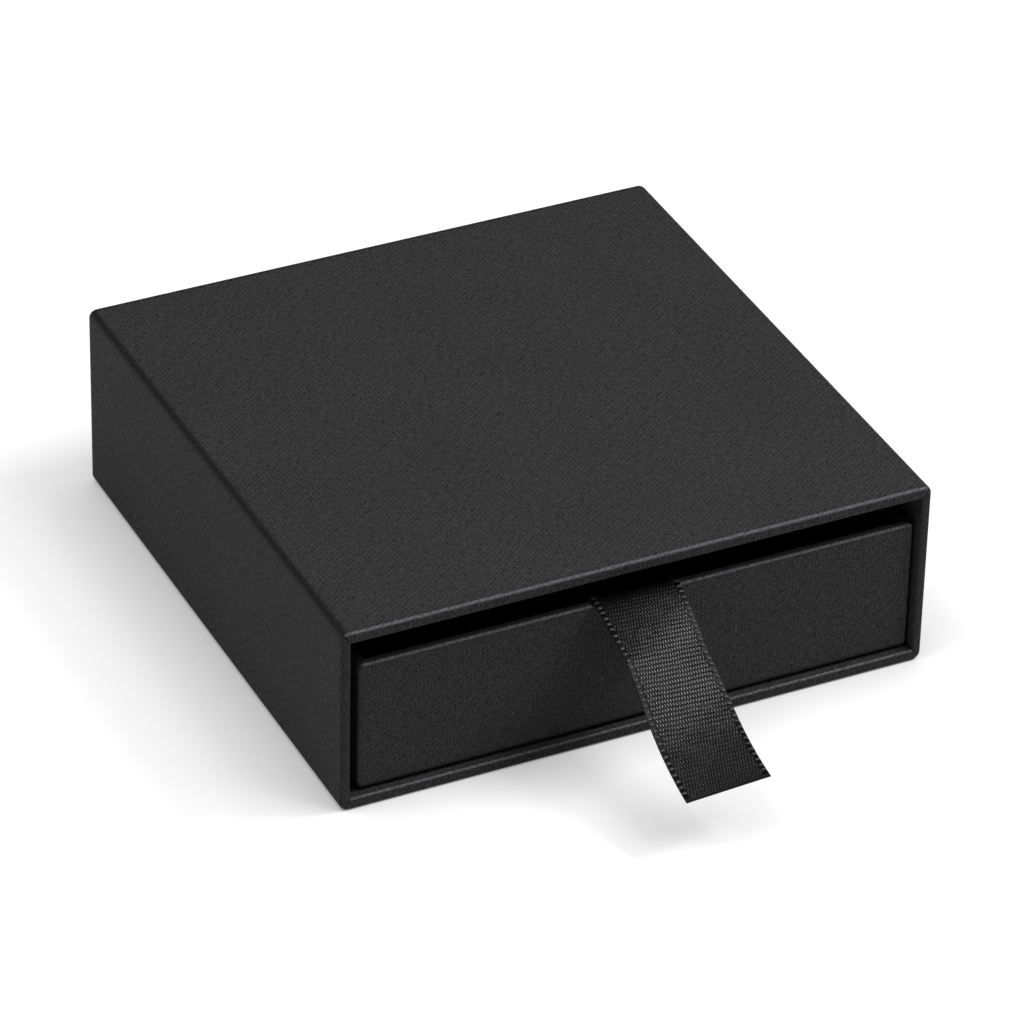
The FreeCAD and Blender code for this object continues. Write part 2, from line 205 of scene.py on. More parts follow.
def threads(tree, coordinates, along, width, length):
    """Uneven parallel threads of a width and a length in millimetres, running along u or v."""
    scale = (1 / length, 1 / width, 1) if along == "u" else (1 / width, 1 / length, 1)
    mapped = add(tree, "ShaderNodeMapping", {"Vector": coordinates, "Scale": scale})
    return add(tree, "ShaderNodeTexNoise",
               {"Vector": mapped.outputs[0], "Scale": 1, "Detail": 2, "Roughness": 0.55}).outputs[0]


def embossed_weave(tree, uv):
    """The roller's weave: ends 0.72 mm apart and picks 0.49 mm apart, which lean a little and wander."""
    stray = add(tree, "ShaderNodeTexNoise", {"Vector": uv, "Scale": 0.8, "Detail": 2}).outputs["Color"]
    wander = add(tree, "ShaderNodeVectorMath", {0: stray, 1: (0.5, 0.5, 0.5)},
                 operation="SUBTRACT").outputs[0]
    place = add(tree, "ShaderNodeVectorMath", {0: wander, 1: (1.0, 1.0, 0), 2: uv},
                operation="MULTIPLY_ADD").outputs[0]
    patchy = add(tree, "ShaderNodeTexNoise", {"Vector": uv, "Scale": 0.25, "Detail": 2}).outputs[0]
    depth = add(tree, "ShaderNodeMapRange", {"Value": patchy, "From Min": 0.3, "From Max": 0.7,
                                             "To Min": 0.35, "To Max": 1.15}).outputs[0]
    height = 0.0
    for per_u, per_v, share in ((-0.69, 1.02, 0.2), (0.69, 1.02, 0.1), (1.38, 0, 0.15)):
        wave = (2 * math.pi * per_u, 2 * math.pi * per_v, 0)
        turn = add(tree, "ShaderNodeVectorMath", {0: place, 1: wave},
                   operation="DOT_PRODUCT").outputs["Value"]
        rise = add(tree, "ShaderNodeMath", {0: turn}, operation="SINE").outputs[0]
        height = add(tree, "ShaderNodeMath", {0: rise, 1: share, 2: height},
                     operation="MULTIPLY_ADD").outputs[0]
    return add(tree, "ShaderNodeMath", {0: height, 1: depth, 2: 0.5}, operation="MULTIPLY_ADD").outputs[0]


def linen_cover_paper():
    """Black cover paper, dyed through and embossed with a linen roller.

    The roller's weave and the paper's own uneven fibres show close up, and the sheet is matte from afar.
    Folds are pressed smooth, and darker in a painted shade; edges that face up and forwards get a painted
    highlight.
    """
    material, tree = new_material("linen_embossed_black_paper")
    uv = add(tree, "ShaderNodeUVMap", uv_map="paper_mm").outputs[0]
    fold = add(tree, "ShaderNodeAttribute", attribute_name="fold").outputs["Fac"]
    seam = add(tree, "ShaderNodeAttribute", attribute_name="seam").outputs["Fac"]
    rub = add(tree, "ShaderNodeAttribute", attribute_name="rub").outputs["Fac"]
    weave_height = embossed_weave(tree, uv)
    warp = threads(tree, uv, "v", 0.25, 1.4)
    weft = threads(tree, uv, "u", 0.25, 1.4)
    crossed = add(tree, "ShaderNodeMath", {0: warp, 1: weft}, operation="ADD").outputs[0]
    grit = add(tree, "ShaderNodeTexNoise", {"Vector": uv, "Scale": 4.5, "Detail": 1}).outputs[0]
    fibres = add(tree, "ShaderNodeMath", {0: grit, 1: 0.5, 2: crossed},
                 operation="MULTIPLY_ADD").outputs[0]
    fibre_height = add(tree, "ShaderNodeMapRange",
                       {"Value": fibres, "From Min": 0.85, "From Max": 1.65}).outputs[0]
    height = add(tree, "ShaderNodeMix", {"Factor": 0.6, "A": weave_height, "B": fibre_height},
                 data_type="FLOAT").outputs["Result"]
    spread = add(tree, "ShaderNodeMapRange", {"Value": height, "From Min": 0.2, "From Max": 0.8}).outputs[0]
    shade = add(tree, "ShaderNodeMix", {"Factor": spread, "A": colour("#1b1b1c"), "B": colour("#484849")},
                data_type="RGBA")
    cloud = add(tree, "ShaderNodeTexNoise", {"Vector": uv, "Scale": 0.05, "Detail": 3}).outputs[0]
    tone = add(tree, "ShaderNodeMapRange", {"Value": cloud, "From Min": 0.3, "From Max": 0.7,
                                            "To Min": 0.95, "To Max": 1.05}).outputs[0]
    toned = add(tree, "ShaderNodeMix", {"Factor": 1.0, "A": shade.outputs["Result"], "B": tone},
                data_type="RGBA", blend_type="MULTIPLY").outputs["Result"]
    # Painted shade: folds take a darker colour
    fold_shade_share = add(tree, "ShaderNodeMath", {0: fold, 1: 0.85}, operation="MULTIPLY").outputs[0]
    fold_shaded = add(tree, "ShaderNodeMix", {"Factor": fold_shade_share, "A": toned, "B": colour("#0c0c0d")},
                 data_type="RGBA").outputs["Result"]
    highlight_grain = add(tree, "ShaderNodeMapRange", {"Value": spread, "From Min": 0.2, "From Max": 0.8,
                                            "To Min": 0.35, "To Max": 1.0}).outputs[0]
    # Painted highlight on edges that face up and forwards and beside the mitre cuts, broken by the grain
    highlight_share = add(tree, "ShaderNodeMath", {0: rub, 1: highlight_grain}, operation="MULTIPLY").outputs[0]
    highlighted = add(tree, "ShaderNodeMix", {"Factor": highlight_share, "A": fold_shaded, "B": colour("#7e7e82")},
                 data_type="RGBA").outputs["Result"]
    # Painted shade: the mitre cuts are near black inside
    slit_shaded = add(tree, "ShaderNodeMix", {"Factor": seam, "A": highlighted, "B": colour("#020202")},
               data_type="RGBA").outputs["Result"]
    rough = add(tree, "ShaderNodeMapRange",
                {"Value": spread, "To Min": 0.9, "To Max": 0.7}).outputs[0]
    smooth = add(tree, "ShaderNodeMath", {0: fold, 1: -0.3, 2: rough}, operation="MULTIPLY_ADD").outputs[0]
    bump = add(tree, "ShaderNodeBump", {"Height": height, "Distance": 0.05 * MM, "Strength": 1.0})
    shader = add(tree, "ShaderNodeBsdfPrincipled",
                 {"Base Color": slit_shaded, "Roughness": smooth, "IOR": 1.25, "Normal": bump.outputs[0]})
    surface(tree, shader)
    return material


def fibrous_sheet(name, dark, light, fibre, rough, ior):
    """Uncoated paper or board: short matted fibres of a length in millimetres, dull and a little mottled."""
    material, tree = new_material(name)
    place = add(tree, "ShaderNodeTexCoord").outputs["Object"]
    matted = add(tree, "ShaderNodeTexNoise",
                 {"Vector": place, "Scale": 1 / (fibre * MM), "Detail": 4, "Roughness": 0.65,
                  "Distortion": 1.2}).outputs[0]
    flecks = add(tree, "ShaderNodeTexVoronoi", {"Vector": place, "Scale": 1 / (1.7 * fibre * MM)},
                 feature="F1").outputs[0]
    mixed = add(tree, "ShaderNodeMath", {0: flecks, 1: 0.35, 2: matted}, operation="MULTIPLY_ADD").outputs[0]
    spread = add(tree, "ShaderNodeMapRange",
                 {"Value": mixed, "From Min": 0.4, "From Max": 0.95}).outputs[0]
    shade = add(tree, "ShaderNodeMix", {"Factor": spread, "A": colour(dark), "B": colour(light)},
                data_type="RGBA")
    bump = add(tree, "ShaderNodeBump", {"Height": spread, "Distance": 0.02 * MM, "Strength": 0.8})
    shader = add(tree, "ShaderNodeBsdfPrincipled",
                 {"Base Color": shade.outputs["Result"], "Roughness": rough, "IOR": ior,
                  "Normal": bump.outputs[0]})
    surface(tree, shader)
    return material


def woven_polyester(name, shaded_valley, crest, gleam_rough):
    """Black polyester yarn: smooth filament floats gleam over dull valleys, which are darker in a painted
    shade.
    """
    material, tree = new_material(name)
    uv = add(tree, "ShaderNodeUVMap", uv_map="ribbon_mm").outputs[0]
    crown = add(tree, "ShaderNodeAttribute", attribute_name="crown").outputs["Fac"]
    filaments = threads(tree, uv, "v", 0.05, 0.9)
    uneven = add(tree, "ShaderNodeMath", {0: filaments, 1: 0.5, 2: crown},
                 operation="MULTIPLY_ADD").outputs[0]
    lit = add(tree, "ShaderNodeMapRange", {"Value": uneven, "From Min": 0.47, "From Max": 1.12},
              interpolation_type="SMOOTHSTEP").outputs[0]
    gleam = add(tree, "ShaderNodeMapRange", {"Value": lit, "To Min": 0.18, "To Max": 1.0}).outputs[0]
    # Painted shade: valleys between the floats take a darker colour than the crests
    shade = add(tree, "ShaderNodeMix", {"Factor": lit, "A": colour(shaded_valley), "B": colour(crest)},
                data_type="RGBA")
    bump = add(tree, "ShaderNodeBump", {"Height": filaments, "Distance": 0.004 * MM, "Strength": 1.0})
    shader = add(tree, "ShaderNodeBsdfPrincipled",
                 {"Base Color": shade.outputs["Result"], "Roughness": 0.9, "IOR": 1.2, "Coat Weight": gleam,
                  "Coat Roughness": gleam_rough, "Coat IOR": 1.45, "Normal": bump.outputs[0],
                  "Coat Normal": bump.outputs[0]})
    surface(tree, shader)
    return material


def sealed_polyester():
    """The ribbon's hot-cut end: yarn melted to a smooth, dark, slightly glossy strip."""
    material, tree = new_material("hot_cut_black_polyester")
    place = add(tree, "ShaderNodeTexCoord").outputs["Object"]
    ripple = add(tree, "ShaderNodeTexNoise",
                 {"Vector": place, "Scale": 1 / (0.6 * MM), "Detail": 2}).outputs[0]
    shade = add(tree, "ShaderNodeMix", {"Factor": ripple, "A": colour("#040405"), "B": colour("#101011")},
                data_type="RGBA")
    rough = add(tree, "ShaderNodeMapRange", {"Value": ripple, "To Min": 0.3, "To Max": 0.5}).outputs[0]
    bump = add(tree, "ShaderNodeBump", {"Height": ripple, "Distance": 0.05 * MM, "Strength": 0.8})
    shader = add(tree, "ShaderNodeBsdfPrincipled",
                 {"Base Color": shade.outputs["Result"], "Roughness": rough, "IOR": 1.4,
                  "Normal": bump.outputs[0]})
    surface(tree, shader)
    return material


COVER_PAPER = linen_cover_paper()
LINING_PAPER = fibrous_sheet("uncoated_black_paper", "#171718", "#2a2a2b", 0.35, 0.82, 1.35)
LINER_CARD = fibrous_sheet("black_faced_card", "#19191a", "#2c2c2d", 0.5, 0.75, 1.38)
GREYBOARD = fibrous_sheet("recycled_greyboard", "#6c665c", "#9a9386", 0.9, 0.9, 1.35)
STAY_TAPE = fibrous_sheet("gummed_kraft_tape", "#8a6238", "#b98f5f", 0.6, 0.6, 1.4)
RIBBON_YARN = woven_polyester("woven_black_polyester", "#020202", "#161617", 0.3)
LOOP_YARN = woven_polyester("looped_black_polyester", "#101011", "#404042", 0.4)
SEALED_YARN = sealed_polyester()

for node_name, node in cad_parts.items():
    if node_name.endswith("_board"):
        paint = GREYBOARD
    elif "_stay_" in node_name:
        paint = STAY_TAPE
    elif node_name == "sleeve_lining":
        paint = LINING_PAPER
    elif node_name == "drawer_base_liner":
        paint = LINER_CARD
    else:
        continue
    node.data.materials.clear()
    node.data.materials.append(paint)


# Pieces

def finish_piece(name, bm, materials):
    """Makes an object of a mesh shaped in millimetres, with its place in the mesh."""
    bmesh.ops.scale(bm, vec=(MM, MM, MM), verts=bm.verts)
    mesh = bpy.data.meshes.new(name)
    bm.to_mesh(mesh)
    bm.free()
    mesh.shade_smooth()
    obj = bpy.data.objects.new(name, mesh)
    bpy.context.scene.collection.objects.link(obj)
    for material in materials:
        mesh.materials.append(material)
    return obj


def thicken(obj, thickness, even=True):
    """Gives a sheet its thickness, behind the face that shows.

    Cloth with a tight fold isn't kept even, because the fold would throw points far out.
    """
    solid = obj.modifiers.new("thickness", "SOLIDIFY")
    solid.thickness = thickness * MM
    solid.offset = -1
    solid.use_even_offset = even


def fix_order(bm):
    """Lists a mesh's elements by their place, because extrude and spin list them in a new order each run."""
    def corners(element):
        return sorted(vert.index for vert in element.verts)

    for sequence, place in ((bm.verts, lambda vert: vert.co[:]), (bm.edges, corners), (bm.faces, corners)):
        rank = {element: number for number, element in enumerate(sorted(sequence, key=place))}
        sequence.sort(key=rank.get)
        sequence.index_update()


# A covered tray with its open end up: half its width and depth, its levels, the radii of its corners, closed
# end and rim, its walls, how far the paper turns in, the corner where the sheet starts, the side whose rim
# gets a painted highlight (1 or -1 along y), how folded its corners look (smoother, and darker in a painted
# shade), and how much painted highlight they get
Shell = namedtuple("Shell", "half_x half_y low high corner closed rim wall_x wall_y turn_in first_corner "
                            "rubbed_side corner_fold corner_rub")

# One row of vertices round a shell: how far in and how high it lies, how much the paper faces out and up
# there, and its seam and fold shares
Row = namedtuple("Row", "inset_x inset_y height out up seam fold")


def shell_rows(s):
    """The paper's way from the closed end, up the wall, over the rim and down inside."""
    turns = [math.pi / 2 * k / ARC_STEPS for k in range(ARC_STEPS + 1)]
    rows = []
    for turn in turns:
        inset = s.closed * (1 - math.sin(turn))
        rows.append(Row(inset, inset, s.low + s.closed * (1 - math.cos(turn)), 1, 0, 0, 1))
    rows.append(Row(0, 0, s.low + s.closed + SUPPORT, 1, 0, 0, 0))
    rows.append(Row(0, 0, s.high - s.rim - SUPPORT, 1, 0, 0, 0))
    for turn in turns:
        inset = s.rim * (1 - math.cos(turn))
        seam = math.sin(turn) ** 2
        rows.append(Row(inset, inset, s.high - s.rim * (1 - math.sin(turn)),
                        math.cos(turn), math.sin(turn), seam, RIM_FOLD))
    for turn in turns:
        inset = LIP_RADIUS * (1 - math.sin(turn))
        rows.append(Row(s.wall_x - inset, s.wall_y - inset, s.high - LIP_RADIUS * (1 - math.cos(turn)),
                        -math.sin(turn), math.cos(turn), 1, RIM_FOLD))
    rows.append(Row(s.wall_x, s.wall_y, s.high - LIP_RADIUS - SUPPORT, -1, 0, 1, 0))
    rows.append(Row(s.wall_x, s.wall_y, s.high - s.turn_in, -1, 0, 1, 0))
    return rows


def shell_columns(s, row):
    """The places of one row's vertices round the shell, each with its seam, fold and painted highlight
    shares.
    """
    radius = max(s.corner - (row.inset_x + row.inset_y) / 2, INNER_CORNER_RADIUS)
    gap = min(SEAM_HALF_WIDTH / radius, SEAM_MOST_TURN)
    rise = [(math.pi / 4 - gap) * k / CORNER_STEPS for k in range(CORNER_STEPS + 1)]
    turns = [*rise, math.pi / 4, *(math.pi / 2 - t for t in reversed(rise))]
    edge_fold = s.corner_fold if row.inset_x < s.corner / 2 else 0
    # Painted highlight along the walls' upright corners
    edge_highlight = s.corner_rub if row.out == 1 and row.fold == 0 else 0

    def highlighted(outward):
        """How much painted highlight the rim gets: most where it faces up and forwards in equal parts."""
        return max(2 * row.up * row.out * s.rubbed_side * outward.y, 0) ** 3

    places = []
    for q in range(4):
        quarter = Matrix.Rotation(math.pi / 2 * (q + s.first_corner), 2)
        side = quarter @ Vector((1, 1))
        centre = Vector((math.copysign(s.half_x - row.inset_x - radius, side.x),
                         math.copysign(s.half_y - row.inset_y - radius, side.y)))
        corner = []
        for k, turn in enumerate(turns):
            outward = quarter @ Vector((math.cos(turn), math.sin(turn)))
            middle = k == CORNER_STEPS + 1
            sink = SEAM_DEPTH * row.seam if middle else 0
            flat = centre + outward * (radius - sink * row.out)
            in_cut = CORNER_STEPS <= k <= CORNER_STEPS + 2
            cut = row.seam if in_cut else 0
            beside_cut = k in (CORNER_STEPS - 1, CORNER_STEPS + 3)
            # Painted highlight along the paper's edges beside each cut
            cut_edge_highlight = SEAM_EDGE_HIGHLIGHT * row.seam * row.up if beside_cut else 0
            rub = max(highlighted(outward), cut_edge_highlight, edge_highlight * math.sin(2 * turn) ** 3)
            fold = max(row.fold, edge_fold * math.sin(2 * turn))
            corner.append((Vector((*flat, row.height - sink * row.up)), cut, fold, rub))
        before = quarter @ Vector((0, -SUPPORT))
        after = quarter @ Vector((-SUPPORT, 0))
        places.append((corner[0][0] + Vector((*before, 0)), 0, row.fold, highlighted(quarter @ Vector((1, 0)))))
        places.extend(corner)
        places.append((corner[-1][0] + Vector((*after, 0)), 0, row.fold, highlighted(quarter @ Vector((0, 1)))))
    return places


def wrapped_shell(s):
    """A tray covered in one sheet of paper: closed end, walls, rim, and the turn-in with mitred corners."""
    bm = bmesh.new()
    uv = bm.loops.layers.uv.new("paper_mm")
    fold = bm.verts.layers.float.new("fold")
    seam = bm.verts.layers.float.new("seam")
    rub = bm.verts.layers.float.new("rub")
    rows = shell_rows(s)
    first = shell_columns(s, rows[0])
    ring = bmesh.ops.create_circle(bm, cap_ends=True, segments=len(first), radius=1)["verts"]
    end_cap = bm.faces[:][0]
    at = {}
    run = 0
    widest = [column[0] for column in shell_columns(s, rows[ARC_STEPS + 1])]
    around = [0]
    for a, b in zip(widest, widest[1:] + widest[:1]):
        around.append(around[-1] + (b - a).length)
    previous = None
    for number, row in enumerate(rows):
        columns = shell_columns(s, row)
        if number:
            edges = [bm.edges.get(pair) for pair in zip(ring, ring[1:] + ring[:1])]
            made = bmesh.ops.extrude_edge_only(bm, edges=edges)["geom"]
            new = {v for v in made if isinstance(v, bmesh.types.BMVert)}
            ring = [next(e.other_vert(v) for e in v.link_edges if e.other_vert(v) in new) for v in ring]
        for vert, column in zip(ring, columns):
            vert.co, vert[seam], vert[fold], vert[rub] = column
        if previous:
            run += math.hypot(row.inset_x - previous.inset_x, row.height - previous.height)
        previous = row
        for k, vert in enumerate(ring):
            at[vert] = (around[k], run)
    for face in bm.faces:
        if face is end_cap:
            for loop in face.loops:
                loop[uv].uv = (loop.vert.co.x, loop.vert.co.y)
            continue
        wraps = max(at[v][0] for v in face.verts) - min(at[v][0] for v in face.verts) > around[-1] / 2
        for loop in face.loops:
            u, v = at[loop.vert]
            loop[uv].uv = (u + around[-1] if wraps and u < around[-1] / 2 else u, v)
    fix_order(bm)
    bmesh.ops.recalc_face_normals(bm, faces=bm.faces)
    return bm


def make_sleeve_cover():
    """The sleeve's paper, open under the base, where a panel of its own goes."""
    low, high = box_mm("sleeve_wrap")
    inner_x = box_mm("sleeve_right_board")[0].x - PAPER
    inner_z = box_mm("sleeve_left_board")[1].z - PAPER
    half_x, half_z = (high.x - low.x) / 2, (high.z - low.z) / 2
    s = Shell(half_x, half_z, -high.y, -low.y, LONG_EDGE_RADIUS, BACK_EDGE_RADIUS, MOUTH_RADIUS,
              half_x - inner_x, high.z - inner_z, SLEEVE_TURN_IN,
              first_corner=3, rubbed_side=1, corner_fold=1, corner_rub=0)
    bm = wrapped_shell(s)
    under = [f for f in bm.faces if abs(f.calc_center_median().y + half_z) < PAPER / 10]
    bmesh.ops.delete(bm, geom=[max(under, key=lambda f: f.calc_area())], context="FACES")
    upright = Matrix.Rotation(math.pi / 2, 4, "X")
    bmesh.ops.transform(bm, matrix=Matrix.Translation((0, 0, half_z)) @ upright, verts=bm.verts)
    cover = finish_piece("sleeve_cover", bm, [COVER_PAPER])
    thicken(cover, PAPER)
    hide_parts("sleeve_wrap")
    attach(cover, "sleeve")


def make_base_panel():
    """The panel under the base, flush in the cover's opening."""
    low, high = box_mm("sleeve_base_wrap")
    margin = Vector((SUPPORT, SUPPORT, 0))
    low, high = low + margin, high - margin
    bm = bmesh.new()
    uv = bm.loops.layers.uv.new("paper_mm")
    bmesh.ops.create_cube(bm, size=1)
    bmesh.ops.scale(bm, vec=high - low, verts=bm.verts)
    bmesh.ops.translate(bm, vec=(low + high) / 2, verts=bm.verts)
    for face in bm.faces:
        for loop in face.loops:
            loop[uv].uv = loop.vert.co.xy
    panel = finish_piece("sleeve_base_panel", bm, [COVER_PAPER])
    panel.data.shade_flat()
    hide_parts("sleeve_base_wrap")
    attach(panel, "sleeve")


def make_drawer_cover():
    """The drawer's paper, folded over the rims and down inside."""
    low, high = box_mm("drawer_wrap")
    wall = 2 * PAPER + box_mm("drawer_left_board")[1].x - box_mm("drawer_left_board")[0].x
    turn_in_low = box_mm("drawer_base_board")[1].z + DRAWER_TURN_IN_GAP
    s = Shell((high.x - low.x) / 2, (high.y - low.y) / 2, low.z, high.z, DRAWER_CORNER_RADIUS,
              DRAWER_BASE_RADIUS, DRAWER_RIM_RADIUS, wall, wall, high.z - turn_in_low,
              first_corner=1, rubbed_side=-1, corner_fold=0.4, corner_rub=0.35)
    bm = wrapped_shell(s)
    bmesh.ops.translate(bm, vec=((low.x + high.x) / 2, (low.y + high.y) / 2, 0), verts=bm.verts)
    cover = finish_piece("drawer_cover", bm, [COVER_PAPER])
    thicken(cover, PAPER)
    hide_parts("drawer_wrap")
    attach(cover, "drawer")


class RibbonRoute:
    """Where the ribbon's middle surface lies: up inside the drawer's front, over its rim, and out."""

    STEP = 0.05

    def __init__(self):
        inner = box_mm("drawer_front_board")[1].y + PAPER
        rim = box_mm("drawer_wrap")[1].z
        low, high = box_mm("ribbon_tail")
        rise = GLUED_LENGTH - LIP_RADIUS
        bend = (LIP_RADIUS + RIBBON_CORE) * math.pi / 2
        self.hinge_run = rise + bend
        self.length = self.hinge_run + FREE_LENGTH
        self.runs = np.arange(0, self.length + self.STEP, self.STEP)
        lie = np.array(RIBBON_LIE)
        ends = [0, rise, *(self.hinge_run + lie[:, 0] * FREE_LENGTH)]
        down = self.smooth(np.interp(self.runs, ends, [-90, -90, *lie[:, 1]]))
        turn = self.smooth(np.interp(self.runs, ends, [0, 0, *lie[:, 2]]))
        roll = self.smooth(np.interp(self.runs, ends, [0, 0, *lie[:, 3]]))
        down, turn, roll = (np.radians(a) for a in (down, turn, roll))
        self.ahead = np.stack([np.sin(turn) * np.cos(down), -np.cos(turn) * np.cos(down), -np.sin(down)], 1)
        level = np.stack([np.cos(turn), np.sin(turn), 0 * turn], 1)
        upward = np.cross(self.ahead, level)
        self.side = level * np.cos(roll)[:, None] - upward * np.sin(roll)[:, None]
        self.normal = np.cross(self.ahead, self.side)
        start = np.array([(low.x + high.x) / 2, inner + RIBBON_CORE, rim - GLUED_LENGTH])
        self.middle = start + np.cumsum(self.ahead, axis=0) * self.STEP

    def smooth(self, angles):
        """Angles along the ribbon, with the corners of their straight runs rounded over a millimetre."""
        width = round(1 / self.STEP)
        padded = np.concatenate([np.full(width, angles[0]), angles, np.full(width, angles[-1])])
        return np.convolve(padded, np.hanning(2 * width + 1) / width, "valid")

    def at(self, values, run):
        """Vectors kept along the route, at some lengths along it."""
        return np.stack([np.interp(run, self.runs, values[:, k]) for k in range(3)], axis=1)

    def lay(self, flat):
        """Flat places (to the left, along, up) of the ribbon, brought onto its route."""
        run = flat[:, 1]
        return (self.at(self.middle, run) - self.at(self.side, run) * flat[:, :1]
                + self.at(self.normal, run) * flat[:, 2:])


def mesh_places(mesh):
    """The vertices' places as rows of x, y and z."""
    places = np.zeros(len(mesh.vertices) * 3, np.float32)
    mesh.vertices.foreach_get("co", places)
    return places.reshape(-1, 3).astype(float)


def weave(across, along):
    """The height share of the yarn at a flat place, from 0 in a valley to 1 on a float's crown."""
    row = np.floor(along / RIBBON_ROW)
    in_row = along / RIBBON_ROW - row
    pitch = (RIBBON_WIDTH - 2 * SELVEDGE) / RIBBON_FLOATS
    turn = 2 * np.pi * (across / pitch + row / 2) + np.pi / 4
    return np.clip(0.5 + 0.75 * np.cos(turn), 0, 1) * (1 - np.abs(2 * in_row - 1) ** 6)


def lay_ribbon(obj, route):
    """Brings a piece that was made flat onto the ribbon's route."""
    places = mesh_places(obj.data) / MM
    obj.data.vertices.foreach_set("co", (route.lay(places) * MM).astype(np.float32).ravel())
    obj.data.update()


def make_ribbon():
    """The woven ribbon, its looped edges and its hot-cut end."""
    route = RibbonRoute()
    pitch = (RIBBON_WIDTH - 2 * SELVEDGE) / RIBBON_FLOATS
    columns = round(RIBBON_WIDTH / pitch * SAMPLES_PER_FLOAT)
    rows = round(route.length / RIBBON_ROW * SAMPLES_PER_ROW)
    bm = bmesh.new()
    uv = bm.loops.layers.uv.new("ribbon_mm")
    crown = bm.verts.layers.float.new("crown")
    bmesh.ops.create_grid(bm, x_segments=columns, y_segments=rows, size=0.5)
    bmesh.ops.translate(bm, vec=(0, 0.5, 0), verts=bm.verts)
    bmesh.ops.scale(bm, vec=(RIBBON_WIDTH, route.length, 1), verts=bm.verts)
    for face in bm.faces:
        for loop in face.loops:
            loop[uv].uv = loop.vert.co.xy
        if face.calc_center_median().y > route.length - SEALED_LENGTH:
            face.material_index = 1
    field = RIBBON_WIDTH / 2 - SELVEDGE
    for vert in bm.verts:
        s, t, _ = vert.co
        inside = min(max((field - abs(s)) / SELVEDGE_FADE, 0), 1)
        woven = min(max((route.length - SEALED_LENGTH - t) / SEALED_FADE, 0), 1)
        uneven = 1 + FLOAT_UNEVEN * noise.noise(Vector((s / FLOAT_UNEVEN_REACH, t / RIBBON_ROW, 0)))
        stray = noise.noise(Vector((s / ROW_STRAY_ACROSS, t / ROW_STRAY_ALONG, 3.7)))
        share = float(weave(s, t + ROW_STRAY * stray))
        share *= inside * woven * uneven
        bead = SEALED_BEAD * min(max(1 - (route.length - t) / SEALED_FADE, 0), 1)
        vert[crown] = share
        vert.co.z = RIBBON_CORE / 2 + FLOAT_HEIGHT * share + bead - SELVEDGE_DROP * (1 - inside)
    ribbon = finish_piece("woven_ribbon", bm, [RIBBON_YARN, SEALED_YARN])
    ribbon.data.shade_flat()
    lay_ribbon(ribbon, route)
    thicken(ribbon, RIBBON_CORE, even=False)
    loops = make_edge_loops(route)
    for obj in (ribbon, loops):
        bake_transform(obj)
    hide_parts("ribbon_tail", "ribbon_glued_end")


def make_edge_loops(route):
    """The weft yarn's turns round both edges, one at each pick that shows."""
    bm = bmesh.new()
    crown = bm.verts.layers.float.new("crown")
    uv = bm.loops.layers.uv.new("ribbon_mm")
    upright = Matrix.Rotation(math.pi / 2, 4, "X")
    reach = RIBBON_WIDTH / 2 - LOOP_RADIUS - LOOP_YARN_RADIUS
    count = int((route.length - 2 * SEALED_LENGTH) / LOOP_PITCH)
    for side in (-1, 1):
        for number in range(count):
            jitter = noise.noise(Vector((number * 1.7, side * 5.3, 0.4)))
            made = bmesh.ops.create_circle(
                bm, segments=LOOP_SIDES, radius=LOOP_YARN_RADIUS,
                matrix=Matrix.Translation((LOOP_RADIUS, 0, 0)) @ upright)["verts"]
            edges = list({e for v in made for e in v.link_edges})
            bmesh.ops.spin(bm, geom=edges, cent=(0, 0, 0), axis=(0, 0, 1), angle=2 * math.pi,
                           steps=LOOP_STEPS, use_merge=True)
            verts = [v for v in bm.verts if not v.tag]
            shape = Matrix.Diagonal((1, LOOP_FULLNESS * (1 + 0.2 * jitter), LOOP_FLATNESS, 1))
            slant = Matrix.Rotation(math.radians(6 * side + 18 * jitter), 4, "Z")
            along = (number + 0.7 + 0.15 * jitter) * LOOP_PITCH
            centre = Matrix.Translation((side * reach, along, RIBBON_CORE / 2))
            bmesh.ops.transform(bm, verts=verts, matrix=centre @ slant @ shape @ upright)
            for vert in verts:
                vert.tag = True
                vert[crown] = 1
    for face in bm.faces:
        for loop in face.loops:
            loop[uv].uv = loop.vert.co.xy
    fix_order(bm)
    bmesh.ops.recalc_face_normals(bm, faces=bm.faces)
    loops = finish_piece("ribbon_edge_loops", bm, [LOOP_YARN])
    lay_ribbon(loops, route)
    return loops


def make_ribbon_patch():
    """The patch of cover paper over the ribbon's glued end, drawn down at the ribbon's edges."""
    low, high = box_mm("ribbon_patch")
    ribbon_low, ribbon_high = box_mm("ribbon_glued_end")
    size = Vector((high.x - low.x, high.z - low.z))
    bm = bmesh.new()
    uv = bm.loops.layers.uv.new("paper_mm")
    bmesh.ops.create_grid(bm, x_segments=round(size.x / PATCH_CELL),
                          y_segments=round(size.y / PATCH_CELL), size=0.5)
    bmesh.ops.scale(bm, vec=(size.x, size.y, 1), verts=bm.verts)
    bmesh.ops.translate(bm, vec=((low.x + high.x) / 2, (low.z + high.z) / 2, 0), verts=bm.verts)
    for face in bm.faces:
        for loop in face.loops:
            loop[uv].uv = loop.vert.co.xy
    for vert in bm.verts:
        across = min(vert.co.x - ribbon_low.x, ribbon_high.x - vert.co.x, vert.co.y - ribbon_low.z)
        share = min(max(across / PATCH_STEP + 1, 0), 1)
        rise = (high.y - low.y - PAPER) * share * share * (3 - 2 * share)
        vert.co = (vert.co.x, low.y + PAPER + rise, vert.co.y)
    bmesh.ops.reverse_faces(bm, faces=bm.faces)
    patch = finish_piece("ribbon_end_patch", bm, [COVER_PAPER])
    thicken(patch, PAPER)
    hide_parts("ribbon_patch")
    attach(patch, "drawer")


make_sleeve_cover()
make_base_panel()
make_drawer_cover()
make_ribbon()
make_ribbon_patch()


# Floor, light and camera

